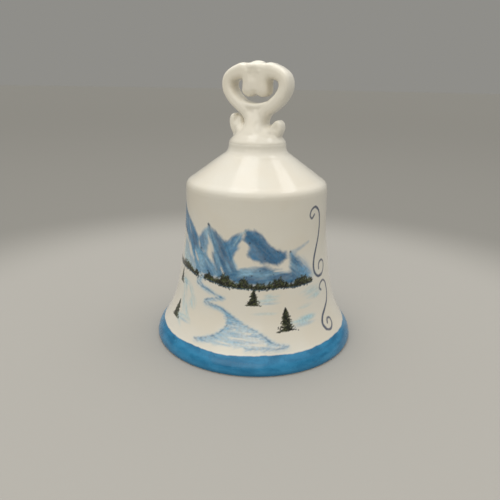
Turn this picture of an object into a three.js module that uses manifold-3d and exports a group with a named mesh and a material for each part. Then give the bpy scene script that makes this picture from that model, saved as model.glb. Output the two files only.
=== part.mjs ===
// Painted porcelain hand bell with a pierced heart handle and a chain-hung clapper.
// Millimetres, +Z up. The origin is the centre of the mouth rim, and the painted front faces -Y.
import * as THREE from 'three';
import { mergeVertices, mergeGeometries } from 'three/addons/utils/BufferGeometryUtils.js';
import Module from 'manifold-3d';

const wasm = await Module();
wasm.setup();

// ---- Driving dimensions -------------------------------------------------------------------

const MOUTH_R = 38.1; // outer radius of the rim, a 3 inch mouth
const WAIST_R = 26.15; // where the side is narrowest, just under the shoulder
const SHOULDER_Z = 57.9; // top of the straight side
const CONE_TOP = { r: 12.9, z: 69.2 }; // where the crown cone meets the collar's fillet
const COLLAR_R = 10.4;
const COLLAR_TOP_R = 9.05;
const COLLAR_TOP_Z = 75.4; // the handle's foot is stuck on here
const WALL = 2.8;
const RIM_FLAT = { inner: 36.2, outer: 37.7 }; // ground foot ring that the bell stands on
const SIDES = 56; // facets round the bell

const WELL = { r: 7, top: 71.6 }; // blind well inside the collar, which takes the plug
const PLUG = { r: 6.7, bottom: 66.6, bore: 0.9, boreTop: 70.6 };

const HANDLE_YAW = -24; // degrees, the handle is set on a little turned
const HANDLE_X = -0.25; // and a little off centre
const HANDLE_TOP_Z = 101.5;
const FOOT_TOP_Z = 78.3; // where the foot has run in to the stem
const ARM = { halfWidth: 2.15, halfDepth: 4.1 }; // band that the heart is bent from
const SCROLL = { halfWidth: 1.1, halfDepth: 2.8 }; // lighter band of the right scroll
const LEFT_SCROLL = { halfWidth: 1.5, halfDepth: 3.5 };
const WEB = { halfWidth: 3.4, halfDepth: 3.9, top: 86.6 }; // fills the stem between the arms
const MIDDLE = { halfWidth: 1.8, halfDepth: 3.7, bottom: 91, top: 98.4 }; // joins the rolled ends

const WIRE_R = 0.45; // chain wire
const EYE_R = 1.7; // wire eyes, to the middle of the wire
const LINK = { endR: 1.45, straight: 2.2, count: 8 };
const PLAY = 0.15; // slack between a link and the wire that it hangs on
const EYE_Z = 63.2; // middle of the hanger eye's ring
const BALL = { r: 6.5, bore: 0.8, z: 17 };
const PIN_HEAD = { r: 1.5, h: 0.7 };

// ---- Materials ----------------------------------------------------------------------------

const paint = (color, roughness, metalness = 0) =>
  new THREE.MeshStandardMaterial({ color, roughness, metalness });
const glaze = () => paint(0xece8da, 0.12);
const brass = () => paint(0xb08d4a, 0.3, 1);
const plaster = () => paint(0xd8d4c8, 0.9);

// ---- Helpers ------------------------------------------------------------------------------

const v2 = (x, y) => new THREE.Vector2(x, y);
const v3 = (x, y, z) => new THREE.Vector3(x, y, z);

// A closed geometry with shared corners, as a solid that can be joined or cut.
function solid(geometry) {
  geometry.deleteAttribute('normal');
  geometry.deleteAttribute('uv');
  const merged = mergeVertices(geometry, 1e-4);
  const index = merged.index.array;
  const kept = [];
  for (let i = 0; i < index.length; i += 3) {
    const [a, b, c] = [index[i], index[i + 1], index[i + 2]];
    if (a !== b && b !== c && c !== a) kept.push(a, b, c);
  }
  return new wasm.Manifold(new wasm.Mesh({
    numProp: 3,
    vertProperties: new Float32Array(merged.attributes.position.array),
    triVerts: new Uint32Array(kept),
  }));
}

function geometryOf(manifold) {
  const mesh = manifold.getMesh();
  const geometry = new THREE.BufferGeometry();
  geometry.setAttribute('position', new THREE.BufferAttribute(mesh.vertProperties, 3));
  geometry.setIndex(new THREE.BufferAttribute(mesh.triVerts, 1));
  geometry.computeVertexNormals();
  return geometry;
}

const join = (solids) => solids.reduce((all, one) => all.add(one));

// A turned solid from an outline of (radius, height) points.
function turned(points, sides = SIDES) {
  return new THREE.LatheGeometry(points, sides).rotateX(Math.PI / 2);
}

// A band with full, rounded edges along a path in the XZ plane. Its depth lies along Y.
function band(path, { halfWidth, halfDepth }, steps, sides = 12) {
  const squareness = 2 / 3; // 1 is an ellipse, and less is fuller in the corners
  const bulge = (v) => Math.sign(v) * Math.abs(v) ** squareness;
  const section = new THREE.Shape(Array.from({ length: sides }, (_, i) => {
    const a = (i + 0.5) / sides * 2 * Math.PI;
    return v2(halfDepth * bulge(Math.cos(a)), halfWidth * bulge(Math.sin(a)));
  }));
  return new THREE.ExtrudeGeometry(section, { steps, bevelEnabled: false, extrudePath: path });
}

function ellipsoid(rx, ry, rz, x, z, sides = 16) {
  return new THREE.SphereGeometry(1, sides, sides / 2)
    .rotateX(Math.PI / 2).scale(rx, ry, rz).translate(x, 0, z);
}

const smoothPath = (points) => new THREE.CatmullRomCurve3(points.map(([x, z]) => v3(x, 0, z)));

const group = new THREE.Group();
function place(name, geometry, material, parent = group) {
  const mesh = new THREE.Mesh(geometry, material);
  mesh.name = name;
  parent.add(mesh);
  return mesh;
}

// ---- Bell ---------------------------------------------------------------------------------

// The side runs from the lip, which is upright, through the flare to the waist.
const side = new THREE.SplineCurve([
  v2(MOUTH_R, 1.5), v2(37.3, 3.9), v2(35.1, 7.0), v2(32.8, 11.4), v2(30.6, 17.1),
  v2(29.3, 22.9), v2(28.15, 30.5), v2(27.1, 38.1), v2(26.4, 45.7), v2(WAIST_R, 52),
  v2(26.05, SHOULDER_Z),
]).getPoints(16);
const shoulder = new THREE.QuadraticBezierCurve(
  v2(26.05, SHOULDER_Z), v2(25.7, 59.6), v2(23.6, 61.1)).getPoints(4).slice(1);
const crown = [
  v2(CONE_TOP.r, CONE_TOP.z), v2(11.6, 70.1), v2(10.8, 71.2), v2(COLLAR_R, 72.6),
  v2(10.3, 73.9), v2(9.8, 74.8), v2(COLLAR_TOP_R, COLLAR_TOP_Z), v2(0, COLLAR_TOP_Z),
];

// The inside is the same curve one wall in, with a well left under the collar.
const inside = [
  v2(0, WELL.top), v2(WELL.r, WELL.top), v2(WELL.r, 68.2), v2(9.5, 67.6), v2(20.6, 59.6),
  v2(22.9, 57.4), v2(23.3, 55),
];
const insideSide = side.filter((p, i) => i % 2 && p.y < 52).reverse()
  .map((p) => v2(p.x - WALL, p.y));
const rim = [v2(RIM_FLAT.inner - 0.4, 0.5), v2(RIM_FLAT.inner, 0), v2(RIM_FLAT.outer, 0),
  v2(MOUTH_R, 0.5)];

place('bell_body', turned([...inside, ...insideSide, ...rim, ...side, ...shoulder, ...crown]),
  glaze());

// ---- Handle -------------------------------------------------------------------------------

// One arm climbs from the foot, leans out, turns over the top and drops into the heart.
const armPath = [
  [2, 75.9], [1.9, 79], [2.1, 82], [3.4, 84.6], [6, 86.7], [8.8, 89.2], [10.4, 91.9],
  [10.6, 94.2], [9.9, 96.1], [8.2, 97.6], [6.1, 98.55], [4.3, 98.4], [3, 97], [2.65, 94.8],
  [2.6, 92.4],
];
const leftScroll = [
  [-5.8, 76.3], [-7.2, 77.4], [-8.1, 79.4], [-8.35, 81.4], [-7.9, 82.5],
];
const rightScroll = [
  [2.6, 78.8], [2.9, 77.7], [4.2, 77.3], [6, 78.3], [7.5, 80.2], [8.4, 80.9], [9, 80.1],
  [9.1, 78.7], [8.2, 76.2],
];

// Soft masses of clay that fill the handle out, as half sizes and a middle in the XZ plane.
const rolledEnd = { size: [2.65, 3.9, 2.7], x: 2.45, z: 92.2 }; // of each band, left and right
const masses = [
  { size: [4.2, 3.7, 2.95], x: 0, z: HANDLE_TOP_Z - 2.95 }, // bump on the heart's top
  { size: [2.3, 3.2, 3], x: -6.5, z: 80.2 }, // inside the left scroll
  { size: [2.6, 3.3, 2.6], x: -4.9, z: 77.9 }, // its root
  { size: [2.8, 3.3, 2.3], x: 4.4, z: 77.3 }, // root of the right scroll
  { size: [2.7, 3, 2.8], x: 6.7, z: 77.8 }, // inside the right scroll
];

function makeFoot() {
  return turned([
    v2(0, COLLAR_TOP_Z), v2(COLLAR_TOP_R, COLLAR_TOP_Z), v2(8.6, 76.5), v2(7.8, 77.1),
    v2(6.6, 77.6), v2(4.7, 78.2), v2(0, FOOT_TOP_Z),
  ], 28);
}

function makeHandle() {
  const mass = ({ size, x, z }) => solid(ellipsoid(...size, x, z, 14));
  const parts = [-1, 1].flatMap((hand) => [
    solid(band(smoothPath(armPath.map(([x, z]) => [hand * x, z])), ARM, 34)),
    mass({ ...rolledEnd, x: hand * rolledEnd.x }),
  ]);
  parts.push(
    solid(makeFoot()),
    solid(band(smoothPath([[0, 76], [0, WEB.top]]), WEB, 1)),
    solid(band(smoothPath([[0, MIDDLE.bottom], [0, MIDDLE.top]]), MIDDLE, 1)),
    solid(band(smoothPath(leftScroll), LEFT_SCROLL, 10, 10)),
    solid(band(smoothPath(rightScroll), SCROLL, 18, 10)),
    ...masses.map(mass),
  );
  const below = new THREE.BoxGeometry(30, 30, 10).translate(0, 0, COLLAR_TOP_Z - 5);
  return geometryOf(join(parts).subtract(solid(below)));
}

const handle = place('heart_handle', makeHandle(), glaze());
handle.rotation.z = THREE.MathUtils.degToRad(HANDLE_YAW);
handle.position.x = HANDLE_X;

// ---- Hanger -------------------------------------------------------------------------------

place('crown_plug', turned([
  v2(0, PLUG.boreTop), v2(PLUG.bore, PLUG.boreTop), v2(PLUG.bore, PLUG.bottom),
  v2(4.2, PLUG.bottom), v2(6, 67.1), v2(PLUG.r, 68), v2(PLUG.r, WELL.top), v2(0, WELL.top),
], 32), plaster());

// A closed loop of wire in the XZ plane: two straights, if any, joined by half circles.
function wireLoop(endR, straight, z) {
  const half = straight / 2;
  const outline = (r, path) => path
    .absarc(0, half, r, 0, Math.PI).absarc(0, -half, r, Math.PI, 2 * Math.PI).closePath();
  const edge = WIRE_R / 3; // the wire's flat before its edges are rounded
  const flat = outline(endR + edge, new THREE.Shape());
  flat.holes.push(outline(endR - edge, new THREE.Path()));
  const round = WIRE_R - edge;
  return new THREE.ExtrudeGeometry(flat, {
    depth: 2 * edge, bevelThickness: round, bevelSize: round, bevelSegments: 1, curveSegments: 4,
  }).translate(0, 0, -edge).rotateX(Math.PI / 2).translate(0, 0, z);
}

function shank(z0, z1, r = WIRE_R) {
  return new THREE.CylinderGeometry(r, r, z1 - z0, 12).rotateX(Math.PI / 2)
    .translate(0, 0, (z0 + z1) / 2);
}

const hanger = solid(wireLoop(EYE_R, 0, EYE_Z))
  .add(solid(shank(EYE_Z + EYE_R, PLUG.boreTop)));
place('hanger_eye', geometryOf(hanger), brass());

// ---- Chain --------------------------------------------------------------------------------

// Each link's top wire sits just above the bottom wire that it hangs on, and every second
// piece of the chain is turned a quarter round.
const linkReach = LINK.straight / 2 + LINK.endR; // middle of a link to the middle of its end wire
const hangAbove = 2 * WIRE_R + PLAY;
let bottomWire = EYE_Z - EYE_R;
for (let i = 1; i <= LINK.count; i++) {
  const z = bottomWire + hangAbove - linkReach;
  const link = place(`chain_link_${i}`, wireLoop(LINK.endR, LINK.straight, 0), brass());
  link.position.z = z;
  link.rotation.z = i % 2 ? Math.PI / 2 : 0;
  bottomWire = z - linkReach;
}

// ---- Clapper ------------------------------------------------------------------------------

const pinEyeZ = bottomWire + hangAbove - EYE_R;
const headTop = BALL.z - BALL.r - PLAY;
const pin = join([
  solid(wireLoop(EYE_R, 0, pinEyeZ)),
  solid(shank(headTop - PIN_HEAD.h / 2, pinEyeZ - EYE_R)),
  solid(shank(headTop - PIN_HEAD.h, headTop, PIN_HEAD.r)),
]);
place('clapper_pin', geometryOf(pin), brass()).rotation.z = Math.PI / 2;

const bead = solid(new THREE.SphereGeometry(BALL.r, 20, 12).rotateX(Math.PI / 2)
  .translate(0, 0, BALL.z));
const bore = solid(shank(BALL.z - 2 * BALL.r, BALL.z + 2 * BALL.r, BALL.bore));
place('clapper_ball', geometryOf(bead.subtract(bore)), glaze());

export default group;
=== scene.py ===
"""Painted porcelain bell: the looks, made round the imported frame. Metres, +Z up, painted front to -Y."""
import math

import bpy
import numpy as np
from mathutils import Matrix, Vector


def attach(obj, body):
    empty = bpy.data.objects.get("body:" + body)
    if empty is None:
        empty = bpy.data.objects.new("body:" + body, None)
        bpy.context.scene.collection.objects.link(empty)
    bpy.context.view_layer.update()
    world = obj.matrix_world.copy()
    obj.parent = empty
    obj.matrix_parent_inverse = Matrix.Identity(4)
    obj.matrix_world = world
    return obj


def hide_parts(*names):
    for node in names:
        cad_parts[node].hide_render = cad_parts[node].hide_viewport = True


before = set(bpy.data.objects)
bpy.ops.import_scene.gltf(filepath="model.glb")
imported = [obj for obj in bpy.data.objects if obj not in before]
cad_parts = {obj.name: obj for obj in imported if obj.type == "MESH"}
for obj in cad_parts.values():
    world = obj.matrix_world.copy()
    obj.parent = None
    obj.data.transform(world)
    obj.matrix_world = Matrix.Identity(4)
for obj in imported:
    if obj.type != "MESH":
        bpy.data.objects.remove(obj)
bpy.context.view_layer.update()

MM = 0.001
SEED = 11

# ---------------------------------------------------------------- sizes, in millimetres

MOUTH_R = 38.1
# Outer side, (radius, height), from the upright lip through the flare to the shoulder.
SIDE = [
    (38.1, 1.5), (37.3, 3.9), (35.1, 7.0), (32.8, 11.4), (30.6, 17.1), (29.3, 22.9),
    (28.15, 30.5), (27.1, 38.1), (26.4, 45.7), (26.15, 52.0), (26.05, 57.9),
]
SHOULDER = [(26.05, 57.9), (25.85, 59.1), (25.3, 60.1), (24.5, 60.8), (23.6, 61.4)]
CONE = [(23.6, 61.4), (12.9, 69.2)]
COLLAR = [
    (12.9, 69.2), (11.6, 70.1), (10.85, 71.1), (10.5, 72.2), (10.42, 72.9),
    (10.38, 73.5), (10.22, 74.0), (9.8, 74.5), (9.2, 74.9), (8.2, 75.1),
]
WALL = 2.8
WELL_TOP = 71.6  # the blind well inside the collar
# The inside above the straight wall, up to the well.
INSIDE = [
    (23.35, 52.0), (23.3, 55.0), (22.6, 58.0), (20.6, 60.0), (15.0, 64.0), (9.5, 67.6),
    (7.4, 68.6), (7.0, 70.0), (7.0, WELL_TOP),
]
RIM_FLAT = (36.2, 37.6)  # the unglazed foot ring

HANDLE_YAW = math.radians(-24)  # the handle is stuck on a little turned
HANDLE_X = -0.25  # and a little off centre
HANDLE_TOP = 101.5

WIRE_R = 0.45
EYE_R = 1.7  # wire eyes and link ends, to the middle of the wire
EYE_Z = 63.2  # middle of the hanger eye's ring
LINK_R = 1.45
LINK_STRAIGHT = 2.2
LINKS = 8
PLAY = 0.15  # slack between a link and the wire that it hangs on
PLUG_BORE_TOP = 70.6
BALL_R, BALL_Z, BALL_BORE = 6.5, 17.0, 0.8
PIN_HEAD_R, PIN_HEAD_H = 1.5, 0.7

# ---------------------------------------------------------------- curves and meshes


def smooth_curve(points, spacing):
    """A centripetal Catmull-Rom curve through the points, with its own points evenly spaced."""
    p = np.array(points, float)
    p = np.vstack([2 * p[0] - p[1], p, 2 * p[-1] - p[-2]])
    fine = []
    for i in range(1, len(p) - 2):
        t0 = 0.0
        t1 = t0 + math.sqrt(np.linalg.norm(p[i] - p[i - 1]))
        t2 = t1 + math.sqrt(np.linalg.norm(p[i + 1] - p[i]))
        t3 = t2 + math.sqrt(np.linalg.norm(p[i + 2] - p[i + 1]))
        t = np.linspace(t1, t2, 40, endpoint=False)[:, None]
        blend = lambda start, end, a, b: (end - t) / (end - start) * a + (t - start) / (end - start) * b
        a1 = blend(t0, t1, p[i - 1], p[i])
        a2 = blend(t1, t2, p[i], p[i + 1])
        a3 = blend(t2, t3, p[i + 1], p[i + 2])
        fine.append(blend(t1, t2, blend(t0, t2, a1, a2), blend(t1, t3, a2, a3)))
    return even(np.vstack([*fine, p[-2:-1]]), spacing)


def lengths(line):
    """How far along the line each of its points lies."""
    return np.concatenate([[0], np.cumsum(np.linalg.norm(np.diff(line, axis=0), axis=1))])


def even(line, spacing):
    """The same line with its points evenly spaced."""
    along = lengths(line)
    at = np.linspace(0, along[-1], max(2, round(along[-1] / spacing) + 1))
    return np.stack([np.interp(at, along, line[:, k]) for k in range(line.shape[1])], axis=1)


def circle(sides):
    return np.arange(sides) / sides * 2 * math.pi


def new_object(name, data):
    made = bpy.data.objects.new(name, data)
    bpy.context.scene.collection.objects.link(made)
    return made


def new_piece(name, verts, faces, material, scale=MM):
    """An object made from points in millimetres, or in metres with a scale of 1."""
    mesh = bpy.data.meshes.new(name)
    mesh.from_pydata((np.asarray(verts) * scale).tolist(), [], faces)
    mesh.validate()
    mesh.shade_smooth()
    mesh.materials.append(material)
    return new_object(name, mesh)


def grid_faces(rows, cols, start=0):
    """Quads between consecutive rows of points, each row a ring of cols points."""
    return [
        (start + i * cols + j, start + i * cols + (j + 1) % cols,
         start + (i + 1) * cols + (j + 1) % cols, start + (i + 1) * cols + j)
        for i in range(rows - 1) for j in range(cols)
    ]


def turn(profile, angles):
    """Rings of points for a profile of (radius, height) at the given angles from the front."""
    p = np.asarray(profile)
    x = p[:, :1] * np.sin(angles)
    y = -p[:, :1] * np.cos(angles)
    z = np.repeat(p[:, 1:2], len(angles), axis=1)
    return np.stack([x, y, z], axis=2).reshape(-1, 3)


def capped(rings, path, sides):
    """Points and faces of a closed rod: its rings, and the first and last points of path as its ends."""
    n = len(rings)
    verts = np.vstack([*rings, path[:1], path[-1:]])
    faces = grid_faces(n, sides)
    faces += [(n * sides, (j + 1) % sides, j) for j in range(sides)]
    last = (n - 1) * sides
    faces += [(n * sides + 1, last + j, last + (j + 1) % sides) for j in range(sides)]
    return verts, faces


def turned(profile, sides):
    """Points and faces of a turned body whose profile starts and ends on the axis."""
    rings = turn(profile[1:-1], circle(sides)).reshape(-1, sides, 3)
    return capped(rings, np.array([[0, 0, profile[0][1]], [0, 0, profile[-1][1]]]), sides)


def rod(flat, half_width, half_depth, across, deep):
    """Points and faces of a rod along points in the XZ plane. Its section goes across and deep at each
    corner, in half widths and half depths."""
    path = np.stack([flat[:, 0], np.zeros(len(flat)), flat[:, 1]], axis=1)
    along = np.gradient(path, axis=0)
    along /= np.linalg.norm(along, axis=1)[:, None]
    side = np.stack([along[:, 2], np.zeros(len(path)), -along[:, 0]], axis=1)
    rings = [p + np.outer(w * across, s) + np.outer(d * deep, (0, 1, 0))
             for p, s, w, d in zip(path, side, half_width, half_depth)]
    return capped(rings, path, len(across))


def joined(shapes):
    """The points and faces of several shapes together."""
    verts, faces = [], []
    for points, polygons in shapes:
        base = sum(len(v) for v in verts)
        verts.append(points)
        faces += [tuple(base + i for i in f) for f in polygons]
    return np.vstack(verts), faces


def vertex_values(mesh, name):
    """Every vertex's position or normal, as rows of three."""
    values = np.zeros(len(mesh.vertices) * 3)
    mesh.vertices.foreach_get(name, values)
    return values.reshape(-1, 3)


# ---------------------------------------------------------------- noise and painting


def noise(x, y, sx, sy, seed, angle=0.0):
    """Smooth noise in -1 to 1 with features sx by sy, sx lying along angle degrees."""
    a = math.radians(angle)
    u = (x * math.cos(a) + y * math.sin(a)) / sx
    v = (-x * math.sin(a) + y * math.cos(a)) / sy
    table = np.random.default_rng(seed).uniform(-1, 1, (256, 256))
    iu, iv = np.floor(u).astype(int), np.floor(v).astype(int)
    fu, fv = u - iu, v - iv
    fu, fv = fu * fu * (3 - 2 * fu), fv * fv * (3 - 2 * fv)
    at = lambda i, j: table[(iu + i) % 256, (iv + j) % 256]
    low = at(0, 0) * (1 - fu) + at(1, 0) * fu
    high = at(0, 1) * (1 - fu) + at(1, 1) * fu
    return low * (1 - fv) + high * fv


def step(low, high, value):
    """0 to 1 as value goes smoothly from low to high."""
    t = np.clip((value - low) / (high - low), 0, 1)
    return t * t * (3 - 2 * t)


def srgb(*values):
    """A linear colour from display values of 0 to 255."""
    v = np.array(values, float) / 255
    return np.where(v <= 0.04045, v / 12.92, ((v + 0.055) / 1.055) ** 2.4)


NIGHT = srgb(38, 98, 140)
DEEP = srgb(62, 124, 168)
BLUE = srgb(94, 152, 194)
SKY = srgb(138, 184, 212)
PALE = srgb(172, 206, 216)
SLATE = srgb(70, 82, 106)
INK = srgb(26, 34, 44)
PINE = [srgb(8, 12, 8), srgb(18, 24, 14), srgb(34, 42, 22), srgb(12, 16, 12)]
PINE_LIT = srgb(92, 100, 56)


class Painting:
    """Colours laid over one another on points (x, h): millimetres round the side and up it."""

    def __init__(self, x, h):
        self.x, self.h = x, h
        self.colour = np.ones((len(x), 3))
        self.cover = np.zeros(len(x))

    def lay(self, where, colour, cover):
        """Lays a colour at the given cover, over what is there."""
        cover = np.clip(cover, 0, 1)
        old = self.cover[where]
        total = cover + old * (1 - cover)
        share = np.where(total > 1e-6, cover / np.maximum(total, 1e-6), 0)[:, None]
        self.colour[where] = colour * share + self.colour[where] * (1 - share)
        self.cover[where] = total

    def near(self, x0, x1, h0, h1):
        return np.flatnonzero((self.x > x0) & (self.x < x1) & (self.h > h0) & (self.h < h1))

    def plane(self, outline, angle, dark, light, soft=0.5, cover=0.9, seed=0):
        """A flat brushed shape with ragged edges and streaks that run along angle."""
        o = np.array(outline, float)
        w = self.near(*(o[:, 0].min() - 2, o[:, 0].max() + 2, o[:, 1].min() - 2, o[:, 1].max() + 2))
        x, h = self.x[w], self.h[w]
        rag = 0.4 * noise(x, h, 2.0, 0.9, seed, angle) + 0.25 * noise(x, h, 0.8, 0.4, seed + 1, angle)
        d = inside_distance(x, h, o) + rag
        streak = 0.65 * noise(x, h, 5.0, 0.9, seed + 2, angle) + 0.35 * noise(x, h, 2.4, 0.4, seed + 3, angle)
        broad = noise(x, h, 7.0, 2.6, seed + 5, angle)
        tone = np.clip(0.36 + 0.42 * streak + 0.55 * broad, 0, 1)[:, None]
        thin = np.clip(0.98 + 0.1 * noise(x, h, 4.0, 0.6, seed + 4, angle), 0, 1)
        self.lay(w, dark * (1 - tone) + light * tone, cover * step(-soft, soft, d) * thin)

    def stroke(self, points, width, colour, cover=0.9, soft=0.2, seed=0, dry=0.0):
        """A line along a smooth curve. width is one value or one for each end."""
        line = smooth_curve(points, 0.25) if len(points) > 2 else even(np.array(points, float), 0.25)
        w0, w1 = width if isinstance(width, tuple) else (width, width)
        reach = max(w0, w1) + 0.6
        w = self.near(line[:, 0].min() - reach, line[:, 0].max() + reach,
                      line[:, 1].min() - reach, line[:, 1].max() + reach)
        p = np.stack([self.x[w], self.h[w]], axis=1)
        d, at = line_distance(p, line)
        half = (w0 + (w1 - w0) * at) / 2
        body = step(soft, -soft, d - half)
        if dry:
            body = body * np.clip(1 - dry * (0.5 + 0.5 * noise(p[:, 0], p[:, 1], 0.8, 0.4, seed)), 0, 1)
        self.lay(w, colour, cover * body)

    def hatch(self, outline, angle, colour, count, rng, cover):
        """Short strokes scattered over an outline, all about one way."""
        o = np.array(outline, float)
        spots = rng.uniform(o.min(0), o.max(0), (count * 6, 2))
        spots = spots[inside_distance(spots[:, 0], spots[:, 1], o) > 0.1][:count]
        for x, h in spots:
            a = math.radians(angle + rng.uniform(-9, 9))
            reach = rng.uniform(1.2, 3.2) / 2
            dx, dh = reach * math.cos(a), reach * math.sin(a)
            width = (rng.uniform(0.25, 0.5), 0.08)
            self.stroke([(x - dx, h - dh), (x + dx, h + dh)], width, colour, cover, soft=0.18)

    def oval(self, x, h, half_w, half_h, angle, reach):
        """The points within reach of an oval's middle, and how far out each lies, 1 being its edge."""
        w = self.near(x - reach, x + reach, h - reach, h + reach)
        a = math.radians(angle)
        dx, dh = self.x[w] - x, self.h[w] - h
        u = (dx * math.cos(a) + dh * math.sin(a)) / half_w
        v = (-dx * math.sin(a) + dh * math.cos(a)) / half_h
        return w, np.hypot(u, v)

    def wipe(self, x, h, half_w, half_h, amount, angle, seed):
        """Takes paint off again in a ragged oval."""
        w, out = self.oval(x, h, half_w, half_h, angle, max(half_w, half_h) * 1.3)
        rag = 0.35 * noise(self.x[w], self.h[w], 2.6, 0.5, seed, angle)
        self.cover[w] *= 1 - amount * step(1.15, 0.45, out + rag)

    def dab(self, x, h, half_w, half_h, colour, cover=0.9, angle=0.0):
        """One touch of a loaded brush."""
        w, out = self.oval(x, h, half_w, half_h, angle, max(half_w, half_h) * 1.5 + 0.2)
        self.lay(w, colour, cover * step(1.35, 0.6, out))

    def smear(self, x, h, half_w, half_h, colour, cover=0.4, angle=0.0, seed=0):
        """A soft dry wash with streaks."""
        w, out = self.oval(x, h, half_w, half_h, angle, max(half_w, half_h) * 1.3)
        streak = 0.55 + 0.6 * noise(self.x[w], self.h[w], 3.5, 0.5, seed, angle)
        self.lay(w, colour, cover * step(1.2, 0.1, out) * np.clip(streak, 0, 1))


def inside_distance(x, h, outline):
    """Distance to a closed outline, positive inside it."""
    p = np.stack([x, h], axis=1)
    best = np.full(len(x), np.inf)
    inside = np.zeros(len(x), bool)
    for a, b in zip(outline, np.roll(outline, -1, axis=0)):
        ab = b - a
        t = np.clip(((p - a) @ ab) / (ab @ ab), 0, 1)
        best = np.minimum(best, np.linalg.norm(p - a - t[:, None] * ab, axis=1))
        crosses = (a[1] > p[:, 1]) != (b[1] > p[:, 1])
        if abs(ab[1]) > 1e-9:
            inside ^= crosses & (p[:, 0] < ab[0] * (p[:, 1] - a[1]) / ab[1] + a[0])
    return np.where(inside, best, -best)


def line_distance(points, line):
    """Distance to a line of points, and how far along it the nearest place is, 0 to 1."""
    best = np.full(len(points), np.inf)
    along = np.zeros(len(points))
    for i, (a, b) in enumerate(zip(line[:-1], line[1:])):
        ab = b - a
        t = np.clip(((points - a) @ ab) / (ab @ ab), 0, 1)
        d = np.linalg.norm(points - a - t[:, None] * ab, axis=1)
        near = d < best
        best[near] = d[near]
        along[near] = (i + t[near]) / (len(line) - 1)
    return best, along


# Shadowed faces of the mountains: an outline of (x, h), the way that its brush strokes run, its
# darkest and lightest colour, how soft its edge is and how much it covers.
FACES = [
    ([(-47, 56.5), (-36, 49.5), (-29, 46), (-24.5, 41.5), (-22, 37), (-25, 33), (-31, 38.5), (-37, 42.5),
      (-44, 44.5), (-50, 42.5), (-49.5, 48), (-50.5, 52)], -52, NIGHT, BLUE, 0.7, 0.98),
    ([(-48.5, 54.5), (-53, 49), (-58, 43.5), (-64, 36.5), (-58, 33.5), (-51, 35), (-47, 40), (-50, 46)],
     46, SKY, PALE, 1.6, 0.62),
    ([(-63, 38), (-58, 42.5), (-52, 38.5), (-45, 34), (-52, 32), (-60, 33.6)],
     -30, DEEP, SKY, 1.3, 0.7),
    ([(-37, 40.6), (-32, 38.6), (-26, 33.4), (-23, 30.6), (-33, 30.8), (-38, 34.4)],
     -50, BLUE, PALE, 1.2, 0.7),
    ([(-20, 47.6), (-23, 45.6), (-26, 42.5), (-25, 39), (-20.5, 38.6), (-18.6, 43)],
     -62, DEEP, SKY, 0.9, 0.85),
    ([(-27.4, 39), (-21, 38.4), (-16, 34.4), (-12, 30.8), (-25, 30.6), (-27, 34)],
     -48, DEEP, SKY, 0.8, 0.92),
    ([(-20, 48.5), (-15.5, 46), (-11.5, 43), (-8.5, 38.5), (-6, 32.5), (-8, 30.6), (-14, 31), (-17, 36),
      (-19, 42.5)], -58, NIGHT, SKY, 0.8, 0.95),
    ([(-12.6, 42.4), (-9.2, 45.8), (-5.4, 47), (-5.8, 44.4), (-7.2, 41.2), (-9.8, 37.6)],
     42, NIGHT, BLUE, 0.9, 0.95),
    ([(-4, 47.8), (-1, 48.2), (2, 46.6), (4.5, 43.5), (7.5, 41.5), (11.5, 40.5), (12, 38), (8, 36.2),
      (3, 36.6), (-1.5, 38), (-3.2, 39.8), (-2.6, 41.6), (-3, 43.4), (-4.8, 44.6)],
     -40, NIGHT, DEEP, 0.85, 0.97),
    ([(13.2, 40.4), (15.4, 39.4), (18, 36.4), (20.6, 33), (22.6, 29.8), (12.4, 29.2), (13.2, 34)],
     -36, NIGHT, SKY, 1.2, 0.95),
    ([(-10, 33.4), (-4, 35.2), (3, 35.7), (9, 34.4), (14, 33), (14.5, 29.2), (-8, 29.2)],
     5, NIGHT, SKY, 1.0, 0.95),
]
RIDGES = [
    [(-47, 56.3), (-36, 49.2), (-29, 45.8), (-24.6, 41.6), (-23, 37.4)],
    [(-47.4, 56), (-53, 49.4), (-59, 42.4)],
    [(-26, 42), (-22.4, 38), (-17, 34.4), (-13.4, 31.6)],
    [(-20, 48.4), (-17.4, 43), (-13.6, 37), (-9.4, 32)],
    [(-19.6, 48.2), (-15.4, 45.6), (-11.6, 42.6)],
    [(-11.6, 42.8), (-9.6, 38.6), (-7, 33.6)],
    [(-1, 48), (2.2, 46), (5, 42.8), (8, 41), (11.2, 40.2)],
    [(13.4, 40.2), (15.4, 37.4), (18.4, 35.6), (21, 32.4)],
]
# Where snow shows through the faces: (x, h, half width, half height, angle).
SNOW_GAPS = [
    (-18.6, 41.4, 4.4, 1.0, -62), (-24.6, 40.8, 2.0, 0.6, -60), (-31, 37.6, 3.6, 1.3, -50),
    (-6.0, 38.4, 2.4, 0.6, -62), (9, 34.2, 3.0, 0.4, 4), (-33, 45.4, 3, 0.3, -52),
    (-25.8, 36.2, 2.8, 0.7, -50), (-12.6, 33.4, 1.6, 0.35, -56),
]
# Dark rocks on the peaks: (x, h, size).
ROCKS = [
    (-20, 48.4, 0.6), (-23.4, 39.4, 0.4), (13.5, 40.3, 0.45), (8.2, 40.7, 0.3), (-2.4, 43.8, 0.4),
    (1.6, 34.4, 0.3), (-1.4, 32.6, 0.35), (6.6, 33, 0.25), (3.4, 38.4, 0.3),
]


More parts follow.
